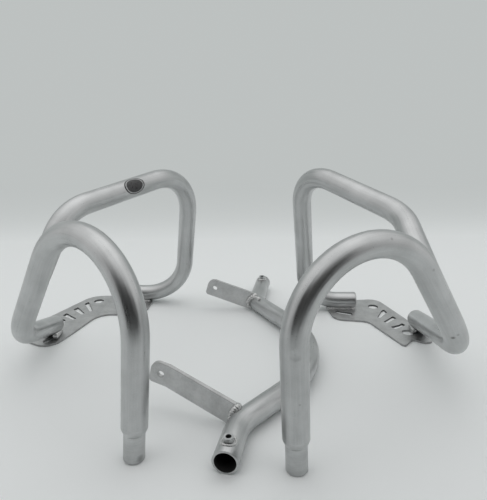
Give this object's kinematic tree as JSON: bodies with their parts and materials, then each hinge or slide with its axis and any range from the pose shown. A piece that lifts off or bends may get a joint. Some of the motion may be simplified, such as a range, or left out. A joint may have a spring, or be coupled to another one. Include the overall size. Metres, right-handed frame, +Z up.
{
  "type": "motorcycle cylinder guard",
  "caption": "Bolt-on crash bar set for a motorcycle engine: left and right bent tube guards with slotted foot plates, and the cross tube that joins them, laid out unassembled.",
  "frame": {"origin": "middle of the base of the laid-out set, on the floor", "axes": "+X from the left guard to the right guard as the picture shows them, +Y away from the viewer, +Z up"},
  "size_m": [0.6418, 0.5068, 0.2676],
  "materials": {
    "tube_silver": "satin silver",
    "plate_silver": "satin silver",
    "weld_bead": "satin silver",
    "boss_silver": "satin silver",
    "spigot_silver": "satin silver"
  },
  "bodies": {
    "root": {"left_front_tube": "tube_silver", "left_spigot": "spigot_silver", "left_rear_tube": "tube_silver", "left_front_end_cap": "tube_silver", "left_rear_end_cap": "tube_silver", "left_tube_weld": "weld_bead", "left_plate_welds": "weld_bead", "left_foot_plate": "plate_silver", "right_front_tube": "tube_silver", "right_spigot": "spigot_silver", "right_rear_tube": "tube_silver", "right_front_end_cap": "tube_silver", "right_rear_end_cap": "tube_silver", "right_tube_weld": "weld_bead", "right_plate_welds": "weld_bead", "right_foot_plate": "plate_silver", "cross_tube": "tube_silver", "cross_front_boss": "boss_silver", "cross_rear_boss": "boss_silver", "cross_boss_welds": "weld_bead", "cross_front_tab": "plate_silver", "cross_rear_tab": "plate_silver", "cross_front_tab_weld": "weld_bead", "cross_rear_tab_weld": "weld_bead"}
  },
  "joints": []
}
